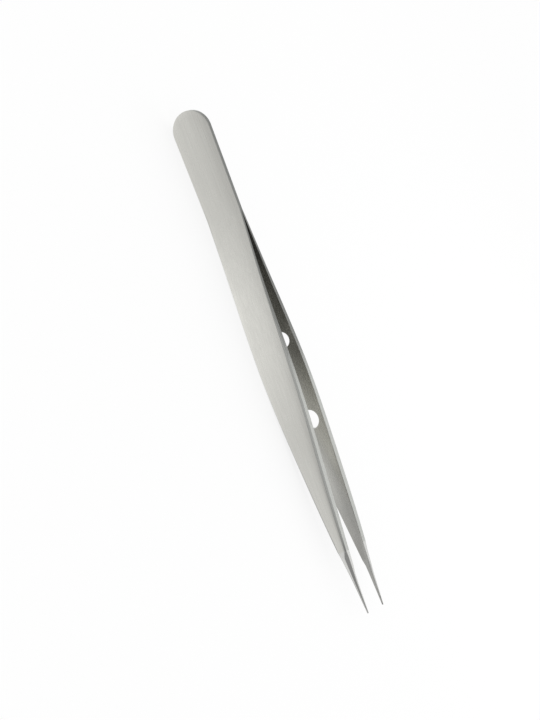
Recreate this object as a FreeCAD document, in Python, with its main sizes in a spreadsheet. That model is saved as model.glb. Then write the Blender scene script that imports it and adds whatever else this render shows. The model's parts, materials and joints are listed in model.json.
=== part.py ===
import FreeCAD, Part

import math
import os

import Sketcher

# Pointed tweezers: two satin steel arms, welded face to face at a round head.
# They lie on one side edge, as they come to rest: +X runs from the head to the points,
# Y is the way the arms open, and +Z is up. The origin is under the middle of the object.
# Each arm is drawn in its own frame first: its point ends at x = 0, the head is at -x,
# the plane between the arms is y = 0, and the arm lies on the +y side.

doc = FreeCAD.newDocument("pointed_tweezers")
sizes = doc.addObject("Spreadsheet::Sheet", "sizes")

# Driving dimensions in millimetres. An arm is divided into zones along its length. At the
# ends of the zones stand its cross-sections, each with half the arm's width, the gap
# between the middle plane and its inner face, and its thickness.
DRIVING = [
    # Lengths of the zones, from the point to the head
    ("point_length", 14.9, "ground point, from its end to its kink"),
    ("neck_length", 4.1, "last part of the blade, behind the kink"),
    ("taper_length", 31.0, "straight taper of the blade"),
    ("shoulder_length", 8.0, "rounded shoulder"),
    ("grip_length", 21.0, "parallel part held by the fingers"),
    ("spring_length", 16.0, "thin part that bends"),
    ("weld_length", 25.0, "the arms lie face to face and are welded"),
    # Half widths
    ("head_radius", 4.83, "round end of the head"),
    ("waist_half_width", 4.55, "where the weld ends"),
    ("grip_half_width", 4.2, "parallel grip"),
    ("shoulder_half_width", 3.88, "front end of the shoulder"),
    ("taper_mid_half_width", 2.73, "middle of the taper"),
    ("neck_half_width", 1.5, "front end of the taper"),
    ("kink_half_width", 1.14, "where the point begins"),
    ("point_mid_half_width", 0.49, "middle of the point"),
    ("point_half_width", 0.14, "end of the point"),
    # Gaps between the middle plane and the inner face
    ("spring_mid_gap", 0.78, "middle of the spring"),
    ("spring_gap", 1.45, "front end of the spring"),
    ("grip_mid_gap", 2.1, "middle of the grip"),
    ("grip_gap", 2.5, "front end of the grip"),
    ("shoulder_gap", 2.7, "front end of the shoulder"),
    ("taper_mid_gap", 3.13, "middle of the taper"),
    ("neck_gap", 3.52, "front end of the taper"),
    ("kink_gap", 3.58, "where the point begins"),
    ("point_gap", 3.7, "end of the point"),
    # Thicknesses
    ("head_thickness", 0.72, "head"),
    ("spring_mid_thickness", 0.79, "middle of the spring"),
    ("spring_end_thickness", 1.04, "front end of the spring"),
    ("grip_mid_thickness", 1.42, "middle of the grip"),
    ("grip_thickness", 1.86, "front end of the grip"),
    ("shoulder_thickness", 2.0, "front end of the shoulder"),
    ("taper_mid_thickness", 2.18, "middle of the taper"),
    ("neck_thickness", 1.84, "front end of the taper"),
    ("kink_thickness", 1.63, "where the point begins"),
    ("point_mid_thickness", 1.0, "middle of the point"),
    ("point_thickness", 0.3, "end of the point"),
    # Bevel along the two outer edges: its width across the arm and its depth
    ("edge_break", 0.08, "broken edge of the head and spring, both ways"),
    ("grip_mid_bevel_width", 0.16, "middle of the grip, where the bevel grows"),
    ("grip_mid_bevel_depth", 0.34, "middle of the grip"),
    ("bevel_width", 0.33, "from the shoulder to the kink"),
    ("bevel_depth", 0.62, "from the shoulder to the middle of the taper"),
    ("neck_bevel_depth", 0.42, "front end of the taper"),
    ("kink_bevel_depth", 0.3, "where the point begins"),
    ("point_root_length", 1.5, "over which the bevel widens in front of the kink"),
    ("point_root_bevel_width", 0.88, "in front of the kink, where a ridge begins"),
    ("point_root_bevel_depth", 0.42, "in front of the kink"),
    ("point_mid_bevel_width", 0.42, "middle of the point"),
    ("point_mid_bevel_depth", 0.3, "middle of the point"),
    ("point_bevel_width", 0.1, "end of the point"),
    ("point_bevel_depth", 0.08, "end of the point"),
    # Facets ground on the inner corners of the point, which leave the gripping flat
    ("facet_length", 11.0, "from the end of the point"),
    ("facet_runout", 1.4, "over which they reach their full size"),
    ("facet_size", 0.28, "in front of the run-out, both ways"),
    ("facet_mid_size", 0.18, "middle of the point, both ways"),
    ("facet_end_size", 0.06, "end of the point, both ways"),
    # Two holes through one arm
    ("front_hole_diameter", 4.5, "the larger hole, on the centreline"),
    ("front_hole_from_tip", 45.04, "its centre"),
    ("rear_hole_diameter", 3.7, "the smaller hole"),
    ("rear_hole_rise", 0.9, "of its centre above the centreline"),
    ("hole_spacing", 19.04, "between the centres, along the arm"),
    ("hole_edge_break", 0.12, "broken rims of the holes"),
]

# Places along the arm, measured from the end of the point, and the pose at rest: the
# lowest line of the round head and that of the grip's front end touch the surface.
DERIVED = [
    ("neck_place", "point_length + neck_length"),
    ("taper_mid_place", "neck_place + taper_length / 2"),
    ("shoulder_place", "neck_place + taper_length"),
    ("grip_place", "shoulder_place + shoulder_length"),
    ("grip_mid_place", "grip_place + grip_length / 2"),
    ("spring_place", "grip_place + grip_length"),
    ("spring_mid_place", "spring_place + spring_length / 2"),
    ("weld_place", "spring_place + spring_length"),
    ("overall_length", "weld_place + weld_length"),
    ("head_centre_place", "overall_length - head_radius"),
    ("spring_mid_half_width", "(waist_half_width + grip_half_width) / 2"),
    ("point_mid_place", "point_length / 2"),
    ("point_mid_gap", "(kink_gap + point_gap) / 2"),
    ("point_root_place", "point_length - point_root_length"),
    ("root_share", "point_root_length / (point_length - point_mid_place)"),
    (
        "point_root_half_width",
        "kink_half_width + root_share * (point_mid_half_width - kink_half_width)",
    ),
    ("point_root_gap", "kink_gap + root_share * (point_mid_gap - kink_gap)"),
    (
        "point_root_thickness",
        "kink_thickness + root_share * (point_mid_thickness - kink_thickness)",
    ),
    ("facet_full_place", "facet_length - facet_runout"),
    (
        "facet_back_share",
        "(facet_length - point_mid_place) / (point_length - point_mid_place)",
    ),
    (
        "facet_full_share",
        "(facet_full_place - point_mid_place) / (point_length - point_mid_place)",
    ),
    (
        "facet_back_half_width",
        "point_mid_half_width"
        " + facet_back_share * (kink_half_width - point_mid_half_width)",
    ),
    (
        "facet_full_half_width",
        "point_mid_half_width"
        " + facet_full_share * (kink_half_width - point_mid_half_width)",
    ),
    ("facet_back_gap", "point_mid_gap + facet_back_share * (kink_gap - point_mid_gap)"),
    ("facet_full_gap", "point_mid_gap + facet_full_share * (kink_gap - point_mid_gap)"),
    ("rear_hole_from_tip", "front_hole_from_tip + hole_spacing"),
    ("rest_reach", "head_centre_place - grip_place"),
    (
        "rest_pitch",
        "asin(head_radius / sqrt(rest_reach ^ 2 + grip_half_width ^ 2))"
        " - atan(grip_half_width / rest_reach)",
    ),
    ("rest_x", "(head_radius + head_centre_place * cos(rest_pitch)) / 2"),
    ("rest_z", "head_radius - head_centre_place * sin(rest_pitch)"),
]

# Cross-sections: name, place, half width, gap, thickness, bevel width, bevel depth
KINK = ("kink", "point_length", "kink_half_width", "kink_gap", "kink_thickness",
        "bevel_width", "kink_bevel_depth")
BLADE_SECTIONS = [
    ("weld_end", "weld_place", "waist_half_width", None, "head_thickness",
     "edge_break", "edge_break"),
    ("spring_mid", "spring_mid_place", "spring_mid_half_width", "spring_mid_gap",
     "spring_mid_thickness", "edge_break", "edge_break"),
    ("spring_end", "spring_place", "grip_half_width", "spring_gap",
     "spring_end_thickness", "edge_break", "edge_break"),
    ("grip_mid", "grip_mid_place", "grip_half_width", "grip_mid_gap",
     "grip_mid_thickness", "grip_mid_bevel_width", "grip_mid_bevel_depth"),
    ("grip_end", "grip_place", "grip_half_width", "grip_gap", "grip_thickness",
     "bevel_width", "bevel_depth"),
    ("shoulder", "shoulder_place", "shoulder_half_width", "shoulder_gap",
     "shoulder_thickness", "bevel_width", "bevel_depth"),
    ("taper_mid", "taper_mid_place", "taper_mid_half_width", "taper_mid_gap",
     "taper_mid_thickness", "bevel_width", "bevel_depth"),
    ("neck", "neck_place", "neck_half_width", "neck_gap", "neck_thickness",
     "bevel_width", "neck_bevel_depth"),
    KINK,
]
POINT_SECTIONS = [
    KINK,
    ("point_root", "point_root_place", "point_root_half_width", "point_root_gap",
     "point_root_thickness", "point_root_bevel_width", "point_root_bevel_depth"),
    ("point_mid", "point_mid_place", "point_mid_half_width", "point_mid_gap",
     "point_mid_thickness", "point_mid_bevel_width", "point_mid_bevel_depth"),
    ("point_end", None, "point_half_width", "point_gap", "point_thickness",
     "point_bevel_width", "point_bevel_depth"),
]

# Facets on the inner corners of the point: name, place, half width, gap, facet size
FACET_SECTIONS = [
    ("facet_back", "facet_length", "facet_back_half_width", "facet_back_gap",
     "edge_break"),
    ("facet_full", "facet_full_place", "facet_full_half_width", "facet_full_gap",
     "facet_size"),
    ("facet_mid", "point_mid_place", "point_mid_half_width", "point_mid_gap",
     "facet_mid_size"),
    ("facet_end", None, "point_half_width", "point_gap", "facet_end_size"),
]

# Holes: place, height above the centreline, diameter
HOLES = [
    ("front_hole_from_tip", None, "front_hole_diameter"),
    ("rear_hole_from_tip", "rear_hole_rise", "rear_hole_diameter"),
]

sheet_rows = DRIVING + [(alias, "=" + formula, "") for alias, formula in DERIVED]
for row, (alias, content, note) in enumerate(sheet_rows, start=1):
    sizes.set(f"A{row}", alias)
    sizes.set(f"B{row}", str(content))
    sizes.setAlias(f"B{row}", alias)
    sizes.set(f"C{row}", note)
doc.recompute()


def size(alias):
    """The number in one cell of the sheet, or 0 where a section stands at none."""
    return float(getattr(sizes, alias)) if alias else 0.0


def add_sketch(body, name, plane_role):
    """An empty sketch on one of the body's own origin planes."""
    plane = next(f for f in body.Origin.OriginFeatures if f.Role == plane_role)
    sketch = body.newObject("Sketcher::SketchObject", name)
    sketch.AttachmentSupport = [(plane, "")]
    sketch.MapMode = "FlatFace"
    return sketch


def add_cross_sketch(body, name, place):
    """A sketch across the arm, at a place that is measured from the end of the point."""
    sketch = add_sketch(body, name, "YZ_Plane")
    if place:
        sketch.setExpression("AttachmentOffset.Base.z", f"-sizes.{place}")
    return sketch


def add_loop(sketch, corners):
    """A closed run of straight lines: line i goes from corner i to corner i + 1."""
    for i, corner in enumerate(corners):
        following = corners[(i + 1) % len(corners)]
        sketch.addGeometry(
            Part.LineSegment(FreeCAD.Vector(*corner, 0), FreeCAD.Vector(*following, 0))
        )
    for i in range(len(corners)):
        following = (i + 1) % len(corners)
        sketch.addConstraint(Sketcher.Constraint("Coincident", i, 2, following, 1))


def bind(sketch, formula, value, kind, *geometry):
    """A dimension of a sketch that follows the sheet."""
    index = sketch.addConstraint(Sketcher.Constraint(kind, *geometry, value))
    sketch.setExpression(f"Constraints[{index}]", formula)


# The origin, as a sketch numbers it
ORIGIN = (-1, 1)


def own_axis(name):
    """The number that a sketch gives its own X or Y axis."""
    return {"X": -1, "Y": -2}[name]


def add_section(body, section, prefix):
    """One cross-section of the arm: six corners, with a bevel on both outer ones."""
    name, place, half_width, gap, thickness, bevel_width, bevel_depth = section
    sketch = add_cross_sketch(body, prefix + name, place)
    inner = size(gap)
    outer = inner + size(thickness)
    side = size(half_width)
    flat = side - size(bevel_width)
    bevel_foot = outer - size(bevel_depth)
    corners = [
        (inner, -side), (inner, side), (bevel_foot, side),
        (outer, flat), (outer, -flat), (bevel_foot, -side),
    ]
    add_loop(sketch, corners)
    for kind, *geometry in [
        ("Symmetric", 0, 1, 0, 2, own_axis("X")),
        ("Symmetric", 3, 1, 3, 2, own_axis("X")),
        ("Vertical", 2, 1, 5, 1),
        ("Horizontal", 1),
        ("Horizontal", 5),
    ]:
        sketch.addConstraint(Sketcher.Constraint(kind, *geometry))
    bind(sketch, f"2 * sizes.{half_width}", 2 * side, "DistanceY", 0, 1, 0, 2)
    bind(sketch, f"sizes.{thickness}", outer - inner, "DistanceX", 0, 2, 3, 1)
    bind(sketch, f"sizes.{bevel_width}", side - flat, "DistanceY", 3, 1, 1, 2)
    bind(sketch, f"sizes.{bevel_depth}", outer - bevel_foot, "DistanceX", 1, 2, 3, 1)
    if gap:
        bind(sketch, f"sizes.{gap}", inner, "DistanceX", *ORIGIN, 0, 1)
    else:
        sketch.addConstraint(Sketcher.Constraint("PointOnObject", 0, 1, own_axis("Y")))
    return sketch


def add_facet_section(body, section):
    """A triangle that takes off one inner corner, with its long side along the facet."""
    name, place, half_width, gap, facet = section
    sketch = add_cross_sketch(body, name, place)
    overshoot = size(facet) / 2
    corner_y = size(gap) - overshoot
    corner_z = size(half_width) + overshoot
    leg = 2 * size(facet)
    add_loop(
        sketch, [(corner_y, corner_z), (corner_y, corner_z - leg), (corner_y + leg, corner_z)]
    )
    sketch.addConstraint(Sketcher.Constraint("Vertical", 0))
    sketch.addConstraint(Sketcher.Constraint("Horizontal", 2))
    bind(sketch, f"sizes.{gap} - sizes.{facet} / 2", corner_y, "DistanceX", *ORIGIN, 0, 1)
    bind(
        sketch, f"sizes.{half_width} + sizes.{facet} / 2", corner_z,
        "DistanceY", *ORIGIN, 0, 1,
    )
    bind(sketch, f"2 * sizes.{facet}", leg, "DistanceY", 0, 2, 0, 1)
    bind(sketch, f"2 * sizes.{facet}", leg, "DistanceX", 0, 1, 2, 1)
    return sketch


def add_loft(body, kind, name, sketches, ruled):
    """A loft from the first sketch through the others."""
    loft = body.newObject(kind, name)
    loft.Profile = sketches[0]
    loft.Sections = sketches[1:]
    loft.Ruled = ruled
    return loft


def add_head(body):
    """The welded head: a flat sheet with a round end that runs in to the waist."""
    sketch = add_sketch(body, "head_outline", "XZ_Plane")
    radius = size("head_radius")
    waist = size("waist_half_width")
    centre_x = -size("head_centre_place")
    end_x = -size("weld_place")
    centre = FreeCAD.Vector(centre_x, 0, 0)
    to_waist = FreeCAD.Vector(end_x - centre_x, waist, 0)
    touch_angle = math.atan2(waist, to_waist.x) + math.acos(radius / to_waist.Length)
    touch_x = centre_x + radius * math.cos(touch_angle)
    touch_y = radius * math.sin(touch_angle)
    corners = [(touch_x, -touch_y), (end_x, -waist), (end_x, waist), (touch_x, touch_y)]
    for start, end in zip(corners, corners[1:]):
        sketch.addGeometry(
            Part.LineSegment(FreeCAD.Vector(*start, 0), FreeCAD.Vector(*end, 0))
        )
    circle = Part.Circle(centre, FreeCAD.Vector(0, 0, 1), radius)
    sketch.addGeometry(Part.ArcOfCircle(circle, touch_angle, 2 * math.pi - touch_angle))
    for kind, *geometry in [
        ("Coincident", 0, 2, 1, 1),
        ("Coincident", 1, 2, 2, 1),
        ("Tangent", 2, 2, 3, 1),
        ("Tangent", 3, 2, 0, 1),
        ("Symmetric", 1, 1, 1, 2, own_axis("X")),
        ("PointOnObject", 3, 3, own_axis("X")),
    ]:
        sketch.addConstraint(Sketcher.Constraint(kind, *geometry))
    bind(sketch, "sizes.head_radius", radius, "Radius", 3)
    bind(sketch, "sizes.head_centre_place", -centre_x, "DistanceX", 3, 3, *ORIGIN)
    bind(sketch, "sizes.weld_place", -end_x, "DistanceX", 1, 1, *ORIGIN)
    bind(sketch, "2 * sizes.waist_half_width", 2 * waist, "DistanceY", 1, 1, 1, 2)

    pad = body.newObject("PartDesign::Pad", "head")
    pad.Profile = sketch
    pad.Reversed = True
    pad.setExpression("Length", "sizes.head_thickness")
    doc.recompute()

    outer_edges = [
        f"Edge{i}"
        for i, edge in enumerate(pad.Shape.Edges, start=1)
        if edge.BoundBox.YMin > size("head_thickness") - TOUCH
        and edge.CenterOfMass.x < end_x - TOUCH
    ]
    edge_break = body.newObject("PartDesign::Chamfer", "head_edge_break")
    edge_break.Base = (pad, outer_edges)
    edge_break.setExpression("Size", "sizes.edge_break")


def add_holes(body):
    """Two round holes through the arm, with broken rims."""
    sketch = add_sketch(body, "hole_centres", "XZ_Plane")
    for i, (place, rise, diameter) in enumerate(HOLES):
        centre = FreeCAD.Vector(-size(place), size(rise), 0)
        sketch.addGeometry(
            Part.Circle(centre, FreeCAD.Vector(0, 0, 1), size(diameter) / 2)
        )
        bind(sketch, f"sizes.{place}", size(place), "DistanceX", i, 3, *ORIGIN)
        bind(sketch, f"sizes.{diameter}", size(diameter), "Diameter", i)
        if rise:
            bind(sketch, f"sizes.{rise}", size(rise), "DistanceY", *ORIGIN, i, 3)
        else:
            sketch.addConstraint(Sketcher.Constraint("PointOnObject", i, 3, own_axis("X")))
    pocket = body.newObject("PartDesign::Pocket", "holes")
    pocket.Profile = sketch
    pocket.Type = "ThroughAll"
    doc.recompute()

    rims = [
        f"Edge{i}"
        for i, edge in enumerate(pocket.Shape.Edges, start=1)
        if is_hole_rim(edge)
    ]
    rim_break = body.newObject("PartDesign::Chamfer", "hole_edge_break")
    rim_break.Base = (pocket, rims)
    rim_break.setExpression("Size", "sizes.hole_edge_break")


def is_hole_rim(edge):
    """Whether an edge goes round one of the two holes, and not along its wall."""
    middle = edge.valueAt((edge.FirstParameter + edge.LastParameter) / 2)
    on_hole = any(
        abs(
            math.hypot(middle.x + size(place), middle.z - size(rise)) - size(diameter) / 2
        ) < TOUCH
        for place, rise, diameter in HOLES
    )
    return on_hole and edge.BoundBox.XLength > TOUCH


def add_arm(name, drilled):
    """One arm: welded head, sprung blade and ground point, with or without the holes."""
    body = doc.addObject("PartDesign::Body", name)
    body.Label = name
    add_head(body)
    blade = [add_section(body, section, "blade_") for section in BLADE_SECTIONS]
    add_loft(body, "PartDesign::AdditiveLoft", "blade", blade, ruled=False)
    point = [add_section(body, section, "tip_") for section in POINT_SECTIONS]
    add_loft(body, "PartDesign::AdditiveLoft", "point", point, ruled=True)
    facets = [add_facet_section(body, section) for section in FACET_SECTIONS]
    upper_facet = add_loft(
        body, "PartDesign::SubtractiveLoft", "upper_facet", facets, ruled=True
    )
    middle_plane = next(f for f in body.Origin.OriginFeatures if f.Role == "XY_Plane")
    lower_facet = body.newObject("PartDesign::Mirrored", "lower_facet")
    lower_facet.Originals = [upper_facet]
    lower_facet.MirrorPlane = (middle_plane, [""])
    body.Tip = lower_facet
    doc.recompute()
    if drilled:
        add_holes(body)
    return body


TOUCH = 0.01

plain_arm = add_arm("plain_arm", drilled=False)
drilled_arm = add_arm("drilled_arm", drilled=True)

# Both arms are pitched to rest on the surface, and the plain one is turned over about its
# long axis, which together is half a turn about an axis between the two.
for body in (plain_arm, drilled_arm):
    body.setExpression("Placement.Base.x", "sizes.rest_x")
    body.setExpression("Placement.Base.z", "sizes.rest_z")
drilled_arm.Placement.Rotation = FreeCAD.Rotation(FreeCAD.Vector(0, 1, 0), 1)
drilled_arm.setExpression("Placement.Rotation.Angle", "sizes.rest_pitch")
plain_arm.Placement.Rotation = FreeCAD.Rotation(FreeCAD.Vector(1, 0, 0), 180)
plain_arm.setExpression("Placement.Rotation.Axis.x", "cos(sizes.rest_pitch / 2)")
plain_arm.setExpression("Placement.Rotation.Axis.z", "-sin(sizes.rest_pitch / 2)")
doc.recompute()

for item in doc.Objects:
    for fault in ("Invalid", "Error"):
        if fault in item.State:
            raise RuntimeError(f"{item.Label} is {fault}")

os.makedirs("parts", exist_ok=True)
for body in (plain_arm, drilled_arm):
    shape = body.Shape
    if shape.isNull() or not shape.isValid() or len(shape.Solids) != 1:
        raise RuntimeError(f"{body.Label} is not one valid solid")
    shape.exportStep(f"parts/{body.Label}.step")
    box = shape.BoundBox
    print(body.Label, "volume", round(shape.Volume, 2), "box", box)
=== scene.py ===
import json
import math

import bmesh
import bpy
import numpy as np
from mathutils import Matrix, Vector


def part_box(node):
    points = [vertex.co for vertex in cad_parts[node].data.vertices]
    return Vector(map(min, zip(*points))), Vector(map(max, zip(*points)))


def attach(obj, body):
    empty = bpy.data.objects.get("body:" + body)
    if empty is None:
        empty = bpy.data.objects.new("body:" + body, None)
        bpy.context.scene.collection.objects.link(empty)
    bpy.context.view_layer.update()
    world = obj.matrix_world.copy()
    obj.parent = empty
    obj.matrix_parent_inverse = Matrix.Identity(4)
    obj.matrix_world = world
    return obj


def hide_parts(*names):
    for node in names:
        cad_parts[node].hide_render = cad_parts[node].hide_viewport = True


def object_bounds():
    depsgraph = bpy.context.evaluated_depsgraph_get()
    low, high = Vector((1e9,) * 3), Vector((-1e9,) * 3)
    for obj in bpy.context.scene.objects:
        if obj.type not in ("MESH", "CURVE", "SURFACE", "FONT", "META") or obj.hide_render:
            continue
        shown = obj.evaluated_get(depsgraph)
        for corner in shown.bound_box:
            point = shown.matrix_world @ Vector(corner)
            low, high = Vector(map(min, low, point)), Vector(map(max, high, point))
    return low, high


# Pointed tweezers of satin steel, lying on one side edge. The arms are modelled afresh, with
# crowned faces, rounded edges and ground points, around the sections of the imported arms.
# Lengths are in metres; MM turns millimetres into them.

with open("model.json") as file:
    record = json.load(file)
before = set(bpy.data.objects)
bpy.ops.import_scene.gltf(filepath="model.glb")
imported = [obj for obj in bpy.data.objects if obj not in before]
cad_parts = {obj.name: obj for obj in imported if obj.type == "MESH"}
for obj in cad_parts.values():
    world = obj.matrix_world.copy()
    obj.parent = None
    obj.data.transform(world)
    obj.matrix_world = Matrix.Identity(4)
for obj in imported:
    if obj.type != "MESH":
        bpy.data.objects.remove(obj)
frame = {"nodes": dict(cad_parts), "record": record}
cad_low, cad_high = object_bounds()

MM = 0.001
MICRON = 0.001 * MM

# Places that lie within this of each other are the same place.
CLOSE = 0.001 * MM

# A corner this near to the end of a packed arm belongs to its end face, and a cut at an end
# is made this far inside it.
END_ZONE = 0.02 * MM
packed_low, packed_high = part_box("plain_arm")
point_heights = [
    corner.co.z for corner in frame["nodes"]["plain_arm"].data.vertices
    if corner.co.x > packed_high.x - END_ZONE
]

# How the arms lie: the round head gives its own radius and centre, the point the other end.
HEAD_RADIUS = (packed_high.z - packed_low.z) / 2
HEAD_CENTRE = Vector((packed_low.x + HEAD_RADIUS, 0, packed_low.z + HEAD_RADIUS))
POINT_END = Vector((packed_high.x, 0, (min(point_heights) + max(point_heights)) / 2))
REST_TILT = math.atan2(HEAD_CENTRE.z - POINT_END.z, POINT_END.x - HEAD_CENTRE.x)

# An arm's own frame, in which it is modelled: the end of its point is the origin, the head
# lies towards -X, +Y is outward from the plane between the arms, and Z is across the arm.
# Places along an arm are measured from the end of its point.
ARM_TO_ROW = Matrix.Translation(POINT_END) @ Matrix.Rotation(REST_TILT, 4, "Y")
ROW_TO_ARM = ARM_TO_ROW.inverted()
HALF_TURN = Matrix.Rotation(math.pi, 4, "X")
HEAD_PLACE = (POINT_END - HEAD_CENTRE).length
WELD_END = 95 * MM
KINK = 14.9 * MM
TIP_FLAT = 11 * MM

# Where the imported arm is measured. The blade is a smooth curve through its places, in steps,
# and the point runs straight from place to place.
BLADE_PLACES = [place * MM for place in (95, 87, 79, 68.5, 58, 50, 34.5, 19, 14.9)]
POINT_PLACES = [place * MM for place in (13.4, 11, 9.6, 7.45, 3.7, 0)]
BLADE_STEP = 1.9 * MM
HEAD_STEPS = 5
HEAD_SPIN_STEPS = 40

# Each corner of half a section is the one that lies furthest in a direction, given in degrees
# round from outward: at the outer face, the bevel's foot, the inner facet and the inner face.
# An edge with less run along the arm than the least is never cut.
CORNER_WAYS = (12, 78, 113, 158)
LEAST_RUN = 0.001 * MICRON

# The outer face is crowned: it drops with the cube of the distance from its middle, by the
# same at all its edges, or by a share of its half width where it is narrow. The rings of
# corners that shape it stand at shares of the half width.
CROWN_RINGS = (1.0, 0.86, 0.7, 0.5)
CROWN_DROP = 0.17 * MM
CROWN_MOST_SHARE = 0.1

# The least drop from the crown's edge to the bevel's foot, and the most of an arm's half width
# that the inner face takes
EDGE_DEPTH = 0.06 * MM
INNER_LAND_SHARE = 0.9

# The holes, each as its centre in the drilled arm's own frame and its radius
HOLES = [
    (ROW_TO_ARM @ Vector(mount["pos_m"]), mount["dims"]["r_mm"] * MM)
    for mount in frame["record"]["mounts"] if mount["kind"] == "bore"
]
HOLE_CORNERS = 72
CUTTER_DEPTH = 16 * MM

# The rims of the holes: the width of their break, how near to a rim its corners lie, how
# near to each other they are merged, and how far round them no edge is rounded again
RIM_BREAK = 0.1 * MM
RIM_SEGMENTS = 3
RIM_CLOSE = 0.01 * MM
RIM_MERGE = 0.08 * MM
RIM_MARGIN = 0.3 * MM

# The other edges: the rounding, its most as a share of a narrow strip, and what is sharp
EDGE_ROUNDING = 0.07 * MM
ROUNDING_SEGMENTS = 3
ROUNDING_SHARE = 0.35
SHARP_EDGE = math.radians(12)
SMOOTH_ANGLE = math.radians(32)

# Finishes by number. A surface belongs to the inner or the outer face by how far its normal
# points inward or outward.
FACE_FINISH, EDGE_FINISH, POINT_FINISH, INNER_FINISH, TIP_FLAT_FINISH = range(5)
INNER_FACE = 0.9
OUTER_FACE = 0.86


def packed_arm():
    """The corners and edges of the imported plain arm, in an arm's own frame."""
    mesh = frame["nodes"]["plain_arm"].data
    corners = np.array([ROW_TO_ARM @ corner.co for corner in mesh.vertices])
    corners[:, 1] = np.abs(corners[:, 1])
    edges = np.array([edge.vertices[:] for edge in mesh.edges])
    return corners, edges


PACKED_CORNERS, PACKED_EDGES = packed_arm()


def measure_section(place):
    """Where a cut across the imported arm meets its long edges, as named sizes."""
    cut = -max(place, END_ZONE)
    start, end = PACKED_CORNERS[PACKED_EDGES[:, 0]], PACKED_CORNERS[PACKED_EDGES[:, 1]]
    run = end[:, 0] - start[:, 0]
    crossing = ((start[:, 0] - cut) * (end[:, 0] - cut) <= 0) & (np.abs(run) > LEAST_RUN)
    share = ((cut - start[crossing, 0]) / run[crossing])[:, None]
    met = start[crossing] + share * (end[crossing] - start[crossing])
    outward, across = met[:, 1], np.abs(met[:, 2])

    def corner_towards(degrees):
        turn = math.radians(degrees)
        i = np.argmax(outward * math.cos(turn) + across * math.sin(turn))
        return outward[i], across[i]

    flat_corner, foot_corner, facet_corner, land_corner = map(corner_towards, CORNER_WAYS)
    return {
        "side": across.max(),
        "gap": outward.min(),
        "outer": outward.max(),
        "flat": flat_corner[1],
        "foot": foot_corner[0],
        "facet_foot": facet_corner[0],
        "land": land_corner[1],
    }


def natural_spline(places, values):
    """A smooth curve through the values, with no bend at its ends, as a function."""
    x, y = np.array(places), np.array(values)
    step = np.diff(x)
    count = len(x)
    system, right = np.eye(count), np.zeros(count)
    for i in range(1, count - 1):
        system[i, i - 1:i + 2] = step[i - 1], 2 * (step[i - 1] + step[i]), step[i]
        right[i] = 6 * ((y[i + 1] - y[i]) / step[i] - (y[i] - y[i - 1]) / step[i - 1])
    bend = np.linalg.solve(system, right)

    def value_at(place):
        i = int(np.clip(np.searchsorted(x, place) - 1, 0, count - 2))
        back, ahead = place - x[i], x[i + 1] - place
        cubic = (bend[i] * ahead**3 + bend[i + 1] * back**3) / (6 * step[i])
        left = (y[i] / step[i] - bend[i] * step[i] / 6) * ahead
        return cubic + left + (y[i + 1] / step[i] - bend[i + 1] * step[i] / 6) * back

    return value_at


def arm_sections():
    """The arm's places from the weld to the end of the point, each with its section."""
    measured = {place: measure_section(place) for place in sorted(BLADE_PLACES)}
    names = list(measured[KINK])
    curves = {
        name: natural_spline(list(measured), [section[name] for section in measured.values()])
        for name in names
    }
    steps = round((WELD_END - KINK) / BLADE_STEP)
    blade = [WELD_END + (KINK - WELD_END) * i / steps for i in range(steps + 1)]
    sections = [(place, {name: curves[name](place) for name in names}) for place in blade]
    sections += [(place, measure_section(place)) for place in POINT_PLACES]
    return sections


ARM_SECTIONS = arm_sections()


def full_outline(section):
    """Corners of a cross-section from the middle of the inner face round to the crown: (y, z).

    Each corner but the first and the last stands for a pair, on both sides of the middle.
    """
    crown = min(CROWN_DROP, CROWN_MOST_SHARE * section["flat"])
    foot = min(section["foot"], section["outer"] - crown - EDGE_DEPTH)
    land = min(section["land"], INNER_LAND_SHARE * section["side"])
    return [
        (section["gap"], 0.0),
        (section["gap"], land),
        (section["facet_foot"], section["side"]),
        (max(foot, section["facet_foot"]), section["side"]),
        *((section["outer"] - ring**3 * crown, ring * section["flat"]) for ring in CROWN_RINGS),
        (section["outer"], 0.0),
    ]


def deselect_everything():
    if bpy.context.mode != "OBJECT":
        bpy.ops.object.mode_set(mode="OBJECT")
    bpy.ops.object.select_all(action="DESELECT")


def choose(piece):
    """Makes one piece the only selected and the active one."""
    deselect_everything()
    piece.select_set(True)
    bpy.context.view_layer.objects.active = piece


def select_corners(mesh, wanted):
    """Selects the corners of the mesh being edited that a test picks."""
    drawn = bmesh.from_edit_mesh(mesh)
    bpy.ops.mesh.select_all(action="DESELECT")
    bpy.ops.mesh.select_mode(type="VERT")
    for corner in drawn.verts:
        corner.select = bool(wanted(corner.co))
    drawn.select_flush_mode()
    bmesh.update_edit_mesh(mesh)


def fit_loop(mesh, station, old_outline, new_outline):
    """Moves the corners of the loop at one station from one outline to another."""
    for (old_y, old_z), (new_y, new_z) in zip(old_outline, new_outline):
        select_corners(
            mesh,
            lambda co: abs(co.x - station) < CLOSE
            and abs(co.y - old_y) < CLOSE
            and abs(abs(co.z) - old_z) < CLOSE,
        )
        if new_y != old_y:
            bpy.ops.transform.translate(value=(0, new_y - old_y, 0))
        if old_z > 0:
            bpy.ops.transform.resize(
                value=(1, 1, new_z / old_z), center_override=(station, 0, 0)
            )
    select_corners(mesh, lambda co: abs(co.x - station) < CLOSE)


def extrude_along(mesh, place, outline, stations):
    """Extrudes the selected loop from place to place, and gives it each place's outline."""
    for next_place, next_outline in stations:
        bpy.ops.mesh.extrude_region_move(
            TRANSFORM_OT_translate={"value": (place - next_place, 0, 0)}
        )
        fit_loop(mesh, -next_place, outline, next_outline)
        place, outline = next_place, next_outline


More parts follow.
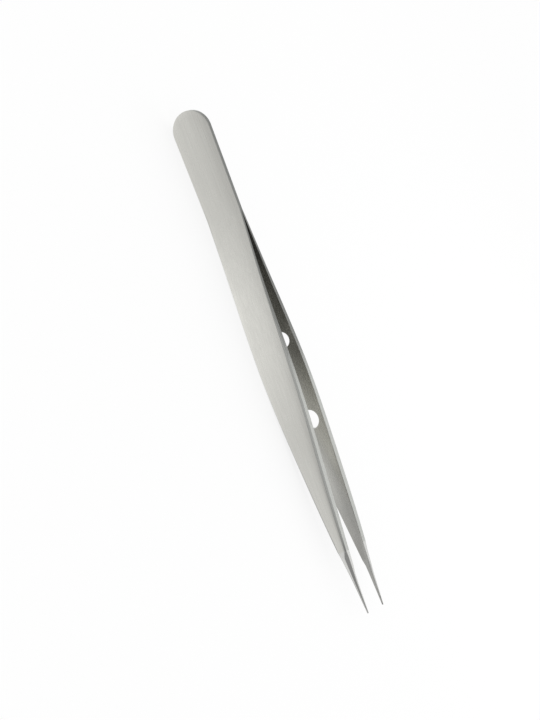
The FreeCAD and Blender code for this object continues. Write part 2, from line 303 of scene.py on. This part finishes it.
def add_weld_loop(outline):
    """A new arm that is only the loop at the end of its weld, left in edit mode."""
    deselect_everything()
    bpy.ops.mesh.primitive_circle_add(
        vertices=2 * len(outline) - 2, radius=HEAD_RADIUS, fill_type="NOTHING",
        location=(-WELD_END, 0, 0), rotation=(0, math.pi / 2, 0),
    )
    arm = bpy.context.object
    bpy.ops.object.transform_apply(location=True, rotation=True, scale=True)
    bpy.ops.object.mode_set(mode="EDIT")
    turn = math.pi / (len(outline) - 1)
    round_outline = [
        (-HEAD_RADIUS * math.cos(i * turn), HEAD_RADIUS * math.sin(i * turn))
        for i in range(len(outline))
    ]
    fit_loop(arm.data, -WELD_END, round_outline, outline)
    return arm


def head_stations(start, end):
    """The places and outlines from the weld's end back to the middle of the round head."""
    stations = []
    for step in range(1, HEAD_STEPS + 1):
        share = step / HEAD_STEPS
        outline = [
            (y + share * (end_y - y), z + share * (end_z - z))
            for (y, z), (end_y, end_z) in zip(start, end)
        ]
        stations.append((WELD_END + share * (HEAD_PLACE - WELD_END), outline))
    return stations


def model_arm():
    """One arm in its own frame: the blade and point, then the head and its round end."""
    outlines = [(place, full_outline(section)) for place, section in ARM_SECTIONS]
    weld_outline = outlines[0][1]
    head_outline = full_outline(measure_section(HEAD_PLACE - END_ZONE))
    arm = add_weld_loop(weld_outline)
    extrude_along(arm.data, WELD_END, weld_outline, outlines[1:])
    bpy.ops.mesh.edge_face_add()

    select_corners(arm.data, lambda co: abs(co.x + WELD_END) < CLOSE)
    extrude_along(
        arm.data, WELD_END, weld_outline, head_stations(weld_outline, head_outline)
    )
    select_corners(
        arm.data, lambda co: abs(co.x + HEAD_PLACE) < CLOSE and co.z > -CLOSE
    )
    bpy.ops.mesh.spin(
        steps=HEAD_SPIN_STEPS, angle=math.pi, center=(-HEAD_PLACE, 0, 0), axis=(0, 1, 0)
    )
    bpy.ops.mesh.select_all(action="SELECT")
    bpy.ops.mesh.remove_doubles(threshold=CLOSE)
    bpy.ops.mesh.normals_make_consistent(inside=False)
    bpy.ops.object.mode_set(mode="OBJECT")
    return arm


def is_on_a_rim(corner, margin=RIM_CLOSE):
    """Whether a place in an arm's own frame lies on the rim of a hole, within a margin."""
    return any(
        abs(math.hypot(corner.x - centre.x, corner.z - centre.z) - radius) < margin
        for centre, radius in HOLES
    )


def drill_holes(arm):
    """Cuts the round holes through one arm, in its own frame, and breaks their rims."""
    for centre, radius in HOLES:
        deselect_everything()
        bpy.ops.mesh.primitive_cylinder_add(
            vertices=HOLE_CORNERS, radius=radius, depth=CUTTER_DEPTH,
            location=(centre.x, 0, centre.z), rotation=(math.pi / 2, 0, 0),
        )
        drill = bpy.context.object
        cut = arm.modifiers.new("hole", "BOOLEAN")
        cut.operation, cut.solver, cut.object = "DIFFERENCE", "EXACT", drill
        choose(arm)
        bpy.ops.object.modifier_apply(modifier=cut.name)
        bpy.data.objects.remove(drill)

    choose(arm)
    bpy.ops.object.mode_set(mode="EDIT")
    select_corners(arm.data, is_on_a_rim)
    bpy.ops.mesh.remove_doubles(threshold=RIM_MERGE)
    bpy.ops.mesh.select_mode(type="EDGE")
    bpy.ops.mesh.select_all(action="DESELECT")
    drawn = bmesh.from_edit_mesh(arm.data)
    for edge in drawn.edges:
        start, end = (corner.co for corner in edge.verts)
        runs_round = math.hypot(end.x - start.x, end.z - start.z) > CLOSE
        edge.select = runs_round and is_on_a_rim(start) and is_on_a_rim(end)
    bmesh.update_edit_mesh(arm.data)
    bpy.ops.mesh.bevel(
        offset=RIM_BREAK, segments=RIM_SEGMENTS, affect="EDGES", loop_slide=False
    )
    bpy.ops.object.mode_set(mode="OBJECT")


def round_edges(arm):
    """Rounds every sharp edge but the rims, by less where the strips beside it are narrow."""
    choose(arm)
    bpy.ops.object.mode_set(mode="EDIT")
    bpy.ops.mesh.select_mode(type="EDGE")
    bpy.ops.mesh.select_all(action="DESELECT")
    bpy.ops.mesh.edges_select_sharp(sharpness=SHARP_EDGE)
    drawn = bmesh.from_edit_mesh(arm.data)
    weight = drawn.edges.layers.float.get("bevel_weight_edge")
    if weight is None:
        weight = drawn.edges.layers.float.new("bevel_weight_edge")
    for edge in drawn.edges:
        at_a_hole = all(is_on_a_rim(corner.co, RIM_MARGIN) for corner in edge.verts)
        if edge.select and not at_a_hole:
            strip = min(face.calc_area() / edge.calc_length() for face in edge.link_faces)
            edge[weight] = min(1.0, ROUNDING_SHARE * strip / EDGE_ROUNDING)
    bmesh.update_edit_mesh(arm.data)
    bpy.ops.object.mode_set(mode="OBJECT")
    rounding = arm.modifiers.new("edge rounding", "BEVEL")
    rounding.width, rounding.segments = EDGE_ROUNDING, ROUNDING_SEGMENTS
    rounding.limit_method = "WEIGHT"
    rounding.use_clamp_overlap = False
    bpy.ops.object.modifier_apply(modifier=rounding.name)


def mark_margin(arm):
    """Writes how near each corner is to the arm's outline: 0 in the middle, 1 at the edge."""
    toward_head = sorted((place, section["side"]) for place, section in ARM_SECTIONS)
    places, sides = zip(*toward_head, (HEAD_PLACE, HEAD_RADIUS))
    nearness = arm.data.attributes.new("margin", "FLOAT", "POINT")
    for corner, mark in zip(arm.data.vertices, nearness.data):
        place, height = -corner.co.x, corner.co.z
        if place < HEAD_PLACE:
            mark.value = abs(height) / np.interp(place, places, sides)
        else:
            mark.value = math.hypot(place - HEAD_PLACE, height) / HEAD_RADIUS


def shade_and_sort(arm, finishes):
    """Smooth shading with flat faces kept flat, and the finish of each surface."""
    choose(arm)
    bpy.ops.object.shade_smooth_by_angle(angle=SMOOTH_ANGLE)
    flats = arm.modifiers.new("flat faces", "WEIGHTED_NORMAL")
    flats.keep_sharp = True
    bpy.ops.object.modifier_apply(modifier=flats.name)
    for finish in finishes:
        arm.data.materials.append(finish)
    for surface in arm.data.polygons:
        place, outward = -surface.center.x, surface.normal.y
        if outward < -INNER_FACE:
            surface.material_index = TIP_FLAT_FINISH if place < TIP_FLAT else INNER_FINISH
        elif place < KINK:
            surface.material_index = POINT_FINISH
        elif outward < OUTER_FACE:
            surface.material_index = EDGE_FINISH
        else:
            surface.material_index = FACE_FINISH


# The range in which nearly all values of a noise lie
NOISE_RANGE = (0.3, 0.7)

# The streaks are longer and wider than the scratches. The clouds have a size of their own,
# more detail, and only part of the difference between the dark and the light steel.
STREAKS_TO_SCRATCHES = 2.5
CLOUD_GRAIN = (12 * MM, 5 * MM, 5 * MM)
CLOUD_DETAIL = 3.0
CLOUD_STRENGTH = 0.5

# Painted light on the face: the middle of the band that is painted lighter, near the grip, how
# far from there the face is painted lighter, and by how much. A margin starts at a share of the
# arm's half width, and gets a painted highlight too.
PAINTED_LIGHT_MIDDLE = -9 * MM
PAINTED_LIGHT_REACH = 32 * MM
PAINTED_LIGHT_STRENGTH = 0.22
MARGIN_START = 0.66
MARGIN_PAINTED_HIGHLIGHT = 0.05

# Painted light and shade on the inner face, by the place along X: painted lightest at the front
# hole and a little beyond it, painted darker towards the head and the points
INNER_PAINTED_LIGHT_AND_SHADE = [
    (-5 * MM, 0.77), (0, 0.82), (8 * MM, 0.97), (12 * MM, 1.0), (24 * MM, 1.0), (33 * MM, 0.79),
    (38 * MM, 0.67), (45 * MM, 0.64),
]


def separate_axes(tree, coordinates="Object"):
    """The place or direction of what is shaded, as its values along X, Y and Z."""
    place = tree.nodes.new("ShaderNodeTexCoord")
    axes = tree.nodes.new("ShaderNodeSeparateXYZ")
    tree.links.new(place.outputs[coordinates], axes.inputs["Vector"])
    return axes.outputs


def noise(tree, grain, detail=2.0):
    """A noise whose cells are as long along each axis as the grain says, in metres."""
    nodes, links = tree.nodes, tree.links
    place = nodes.new("ShaderNodeTexCoord")
    mapping = nodes.new("ShaderNodeMapping")
    mapping.inputs["Scale"].default_value = [1 / length for length in grain]
    texture = nodes.new("ShaderNodeTexNoise")
    texture.inputs["Scale"].default_value = 1.0
    texture.inputs["Detail"].default_value = detail
    links.new(place.outputs["Object"], mapping.inputs["Vector"])
    links.new(mapping.outputs["Vector"], texture.inputs["Vector"])
    return texture.outputs["Fac"]


def map_range(tree, value, source, target):
    """A node that carries a value over from one range to another."""
    node = tree.nodes.new("ShaderNodeMapRange")
    node.inputs["From Min"].default_value, node.inputs["From Max"].default_value = source
    node.inputs["To Min"].default_value, node.inputs["To Max"].default_value = target
    tree.links.new(value, node.inputs["Value"])
    return node


def spread_noise(tree, value, low, high):
    """A noise spread from low to high."""
    return map_range(tree, value, NOISE_RANGE, (low, high)).outputs["Result"]


def smooth_step(tree, value, start, end, most):
    """0 up to the start, and from there smoothly up to the most at the end."""
    node = map_range(tree, value, (start, end), (0, most))
    node.interpolation_type = "SMOOTHSTEP"
    return node.outputs["Result"]


def through_points(tree, value, points):
    """A value that follows another through the points listed for it, straight between them."""
    first, last = points[0][0], points[-1][0]
    share = map_range(tree, value, (first, last), (0, 1))
    ramp = tree.nodes.new("ShaderNodeValToRGB")
    marks = ramp.color_ramp.elements
    while len(marks) < len(points):
        marks.new(1.0)  # at the ramp's end, until it gets its place below
    for mark, (place, level) in zip(marks, points):
        mark.position = (place - first) / (last - first)
        mark.color = (level, level, level, 1)
    tree.links.new(share.outputs["Result"], ramp.inputs["Fac"])
    return ramp.outputs["Color"]


def calculated(tree, operation, first, second):
    """The result of a calculation on two values, of which the second may be a number."""
    node = tree.nodes.new("ShaderNodeMath")
    node.operation = operation
    tree.links.new(first, node.inputs[0])
    if isinstance(second, (int, float)):
        node.inputs[1].default_value = second
    else:
        tree.links.new(second, node.inputs[1])
    return node.outputs["Value"]


def mixed_colour(tree, share, first, second):
    """The first colour where the share is 0, the second where it is 1."""
    node = tree.nodes.new("ShaderNodeMix")
    node.data_type = "RGBA"
    tree.links.new(share, node.inputs["Factor"])
    for name, colour in (("A", first), ("B", second)):
        target = next(s for s in node.inputs if s.name == name and s.type == "RGBA")
        if isinstance(colour, tuple):
            target.default_value = (*colour, 1)
        else:
            tree.links.new(colour, target)
    return next(s for s in node.outputs if s.type == "RGBA")


def scale_colour(tree, brightness):
    """Multiplies a finish's colour by a brightness that varies over the surface."""
    target = tree.nodes["Principled BSDF"].inputs["Base Color"]
    scaled = tree.nodes.new("ShaderNodeVectorMath")
    scaled.operation = "SCALE"
    tree.links.new(target.links[0].from_socket, scaled.inputs["Vector"])
    tree.links.new(brightness, scaled.inputs["Scale"])
    tree.links.new(scaled.outputs["Vector"], target)


def add_steel(name, dark, light, roughness, grain, depth):
    """Satin steel with fine scratches along its grain and broader, fainter streaks."""
    material = bpy.data.materials.new(name)
    material.use_nodes = True
    tree = material.node_tree
    shader = tree.nodes["Principled BSDF"]
    shader.inputs["Metallic"].default_value = 1.0
    scratches = noise(tree, grain)
    streaks = noise(tree, [STREAKS_TO_SCRATCHES * length for length in grain])
    clouds = noise(tree, CLOUD_GRAIN, CLOUD_DETAIL)
    streaky = mixed_colour(tree, spread_noise(tree, streaks, 0, 1), dark, light)
    cloudy = mixed_colour(tree, spread_noise(tree, clouds, 0, CLOUD_STRENGTH), streaky, dark)
    tree.links.new(cloudy, shader.inputs["Base Color"])
    tree.links.new(spread_noise(tree, scratches, *roughness), shader.inputs["Roughness"])
    bump = tree.nodes.new("ShaderNodeBump")
    bump.inputs["Strength"].default_value = 1.0
    bump.inputs["Distance"].default_value = depth
    tree.links.new(scratches, bump.inputs["Height"])
    tree.links.new(bump.outputs["Normal"], shader.inputs["Normal"])
    return material


def paint_light_on_face(material):
    """Paints light into the finish: lighter around the grip, and a painted highlight along the
    margins.
    """
    tree = material.node_tree
    # Painted light: the face is painted lighter around the grip.
    from_light_middle = calculated(tree, "SUBTRACT", separate_axes(tree)["X"], PAINTED_LIGHT_MIDDLE)
    distance = calculated(tree, "ABSOLUTE", from_light_middle, 0)
    painted_band = smooth_step(tree, distance, PAINTED_LIGHT_REACH, 0, PAINTED_LIGHT_STRENGTH)
    nearness = tree.nodes.new("ShaderNodeAttribute")
    nearness.attribute_name = "margin"
    # Painted highlight: the margins of the face are painted lighter.
    margin = smooth_step(tree, nearness.outputs["Fac"], MARGIN_START, 1, MARGIN_PAINTED_HIGHLIGHT)
    scale_colour(tree, calculated(tree, "ADD", calculated(tree, "ADD", painted_band, margin), 1))


def paint_light_along(material, tones):
    """Paints light and shade into the finish's colour, by the place along the tweezers."""
    tree = material.node_tree
    scale_colour(tree, through_points(tree, separate_axes(tree)["X"], tones))


def make_finishes():
    """The finishes in the order of their numbers."""
    brushed_face = add_steel(
        "brushed_face", dark=(0.63, 0.625, 0.59), light=(0.70, 0.695, 0.655),
        roughness=(0.26, 0.34), grain=(9 * MM, 0.09 * MM, 0.09 * MM), depth=1.2 * MICRON,
    )
    # Painted light on the face: lighter around the grip, with a painted highlight along its
    # margins.
    paint_light_on_face(brushed_face)
    ground_edge = add_steel(
        "ground_edge", dark=(0.56, 0.57, 0.545), light=(0.63, 0.64, 0.61),
        roughness=(0.24, 0.34), grain=(3 * MM, 0.07 * MM, 0.07 * MM), depth=1.0 * MICRON,
    )
    # Ground steel on the points, painted a little lighter than the face's as a painted
    # highlight on the facets
    ground_point = add_steel(
        "ground_point", dark=(0.66, 0.66, 0.64), light=(0.72, 0.72, 0.70),
        roughness=(0.2, 0.27), grain=(0.07 * MM, 0.6 * MM, 0.6 * MM), depth=0.4 * MICRON,
    )
    inner_face = add_steel(
        "inner_face", dark=(0.745, 0.74, 0.70), light=(0.83, 0.825, 0.785),
        roughness=(0.22, 0.30), grain=(6 * MM, 0.12 * MM, 0.12 * MM), depth=1.0 * MICRON,
    )
    # Painted light and shade along the inner face
    paint_light_along(inner_face, INNER_PAINTED_LIGHT_AND_SHADE)
    tip_flat = add_steel(
        "tip_flat", dark=(0.50, 0.50, 0.475), light=(0.56, 0.56, 0.535),
        roughness=(0.3, 0.4), grain=(0.07 * MM, 0.5 * MM, 0.5 * MM), depth=0.6 * MICRON,
    )
    return [brushed_face, ground_edge, ground_point, inner_face, tip_flat]


def make_arms():
    """Both arms from one model: the drilled one, and the plain one turned over."""
    finishes = make_finishes()
    drilled_arm = model_arm()
    drilled_arm.name = "drilled_arm_steel"
    choose(drilled_arm)
    bpy.ops.object.duplicate()
    plain_arm = bpy.context.object
    plain_arm.name = "plain_arm_steel"
    drill_holes(drilled_arm)
    for arm, node, place in [
        (drilled_arm, "drilled_arm", ARM_TO_ROW),
        (plain_arm, "plain_arm", ARM_TO_ROW @ HALF_TURN),
    ]:
        round_edges(arm)
        mark_margin(arm)
        shade_and_sort(arm, finishes)
        arm.matrix_world = place
        choose(arm)
        bpy.ops.object.transform_apply(location=True, rotation=True, scale=True)
        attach(arm, "root")
        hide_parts(node)


# The picture in pixels, and where in it the middle between the points and the head's end lie
PICTURE_WIDTH, PICTURE_HEIGHT = 540, 720
POINT_PIXEL = Vector((375.6, 609.0))
HEAD_PIXEL = Vector((185.05, 111.5))

# The camera looks down at the near arm's broad side through a long lens.
ELEVATION = math.radians(30)
LENS_MM, SENSOR_MM = 150, 36
NEAREST_SEEN, FURTHEST_SEEN = 0.01, 10


def add_camera():
    """A camera that puts the points and the head's end at their places in the picture."""
    head_end = HEAD_CENTRE + (HEAD_CENTRE - POINT_END).normalized() * HEAD_RADIUS
    along = POINT_END - head_end
    back = Vector((0, -math.cos(ELEVATION), math.sin(ELEVATION)))
    level_right = Vector((1, 0, 0))
    level_up = Vector((0, math.sin(ELEVATION), math.cos(ELEVATION)))
    seen = Vector((along.dot(level_right), along.dot(level_up)))
    drawn = Vector((POINT_PIXEL.x - HEAD_PIXEL.x, HEAD_PIXEL.y - POINT_PIXEL.y))
    pixel = seen.length / drawn.length
    roll = math.atan2(seen.y, seen.x) - math.atan2(drawn.y, drawn.x)
    right = math.cos(roll) * level_right + math.sin(roll) * level_up
    up = -math.sin(roll) * level_right + math.cos(roll) * level_up
    picture_middle = Vector((PICTURE_WIDTH, PICTURE_HEIGHT)) / 2
    offset = (POINT_PIXEL + HEAD_PIXEL) / 2 - picture_middle
    aim = (POINT_END + head_end) / 2 - (offset.x * right - offset.y * up) * pixel
    distance = LENS_MM / SENSOR_MM * PICTURE_HEIGHT * pixel

    camera_data = bpy.data.cameras.new("camera")
    camera_data.lens, camera_data.sensor_width = LENS_MM, SENSOR_MM
    camera_data.clip_start, camera_data.clip_end = NEAREST_SEEN, FURTHEST_SEEN
    camera = bpy.data.objects.new("camera", camera_data)
    bpy.context.scene.collection.objects.link(camera)
    turned = Matrix((right, up, back)).transposed().to_4x4()
    camera.matrix_world = Matrix.Translation(aim + back * distance) @ turned
    bpy.context.scene.camera = camera


FLOOR_SIZE = 6
FLOOR_WHITE = (0.95, 0.95, 0.95, 1)
WHITE = (1, 1, 1)

# How much of the floor's light is even, with no shadow: to the eye, and in what mirrors it
FLOOR_EVEN_SEEN = 0.8
FLOOR_EVEN_MIRRORED = 0.8

# Painted shade and light on the floor that the steel mirrors, by the distance out from the line
# of an arm: a painted shadow under and between the arms, and painted light falling off away
# from them
MIRRORED_FLOOR_PAINTED_LIGHT = [
    (-4 * MM, 0.74), (-2.4 * MM, 0.38), (-1.2 * MM, 0.32), (0, 0.96), (3 * MM, 0.9),
    (9 * MM, 0.84), (17 * MM, 0.69), (37 * MM, 0.5), (140 * MM, 0.35),
]

# The line of an arm on the floor, as the distance from the middle between the arms by the
# place along X. It follows the outer face, and lies a little further out along the blade.
ARM_LINE = [
    (-42 * MM, 0.6 * MM), (20 * MM, 5.1 * MM), (30 * MM, 6.6 * MM), (43 * MM, 6.6 * MM),
    (47 * MM, 4.6 * MM),
]

# Tones of the sky that the steel mirrors, by the sine of their height above the horizon
SKY_TONES = [(0.0, 0.7), (0.1, 0.5), (0.25, 0.35), (0.6, 0.26), (0.85, 0.52), (1.0, 0.57)]


def add_floor():
    """A white floor that shows the shadow, with a painted shadow and painted light in what the
    steel mirrors.
    """
    deselect_everything()
    bpy.ops.mesh.primitive_plane_add(size=FLOOR_SIZE, location=(0, 0, cad_low.z))
    floor = bpy.context.object
    floor.name = "floor"
    material = bpy.data.materials.new("white_floor")
    material.use_nodes = True
    tree = material.node_tree
    tree.nodes.clear()
    matt = tree.nodes.new("ShaderNodeBsdfDiffuse")
    matt.inputs["Color"].default_value = FLOOR_WHITE

    place = separate_axes(tree)
    from_middle = calculated(tree, "ABSOLUTE", place["Y"], 0)
    arm_line = through_points(tree, place["X"], ARM_LINE)
    from_arm = calculated(tree, "SUBTRACT", from_middle, arm_line)
    # Painted shadow near the arms and painted light falling off away from them, seen only in
    # what the steel mirrors
    tones = through_points(tree, from_arm, MIRRORED_FLOOR_PAINTED_LIGHT)
    path = tree.nodes.new("ShaderNodeLightPath").outputs
    even = tree.nodes.new("ShaderNodeEmission")
    even.inputs["Strength"].default_value = 1.0
    tree.links.new(
        mixed_colour(tree, path["Is Glossy Ray"], WHITE, tones), even.inputs["Color"]
    )
    mirrored = calculated(tree, "MAXIMUM", path["Is Glossy Ray"], path["Is Transmission Ray"])
    share = calculated(
        tree, "ADD",
        calculated(tree, "MULTIPLY", path["Is Camera Ray"], FLOOR_EVEN_SEEN),
        calculated(tree, "MULTIPLY", mirrored, FLOOR_EVEN_MIRRORED),
    )
    mix = tree.nodes.new("ShaderNodeMixShader")
    output = tree.nodes.new("ShaderNodeOutputMaterial")
    tree.links.new(share, mix.inputs[0])
    tree.links.new(matt.outputs[0], mix.inputs[1])
    tree.links.new(even.outputs[0], mix.inputs[2])
    tree.links.new(mix.outputs[0], output.inputs["Surface"])
    floor.data.materials.append(material)


def add_world():
    """An even white room, of which the steel mirrors a sky with tones of its own."""
    world = bpy.data.worlds.new("studio")
    world.use_nodes = True
    tree = world.node_tree
    background = tree.nodes["Background"]
    sky = through_points(tree, separate_axes(tree, "Generated")["Z"], SKY_TONES)
    path = tree.nodes.new("ShaderNodeLightPath").outputs
    tree.links.new(
        mixed_colour(tree, path["Is Glossy Ray"], WHITE, sky), background.inputs["Color"]
    )
    background.inputs["Strength"].default_value = 1.0
    bpy.context.scene.world = world


def add_softbox(name, place, aim, width, height, brightness):
    """A soft rectangular lamp that faces a point, and is as bright at any size."""
    lamp_data = bpy.data.lights.new(name, "AREA")
    lamp_data.shape = "RECTANGLE"
    lamp_data.size, lamp_data.size_y = width, height
    lamp_data.energy = brightness * math.pi * width * height
    lamp = bpy.data.objects.new(name, lamp_data)
    bpy.context.scene.collection.objects.link(lamp)
    facing = (Vector(aim) - Vector(place)).to_track_quat("-Z", "Y")
    lamp.matrix_world = Matrix.Translation(Vector(place)) @ facing.to_matrix().to_4x4()
    lamp.visible_camera = False


make_arms()
add_camera()
add_floor()
add_world()
add_softbox(
    "back_softbox", place=(0.0725, 0.13, 0.085), aim=(0.0725, 0, 0.005),
    width=0.135, height=0.06, brightness=0.74,
)
bpy.context.scene.view_settings.view_transform = "Standard"
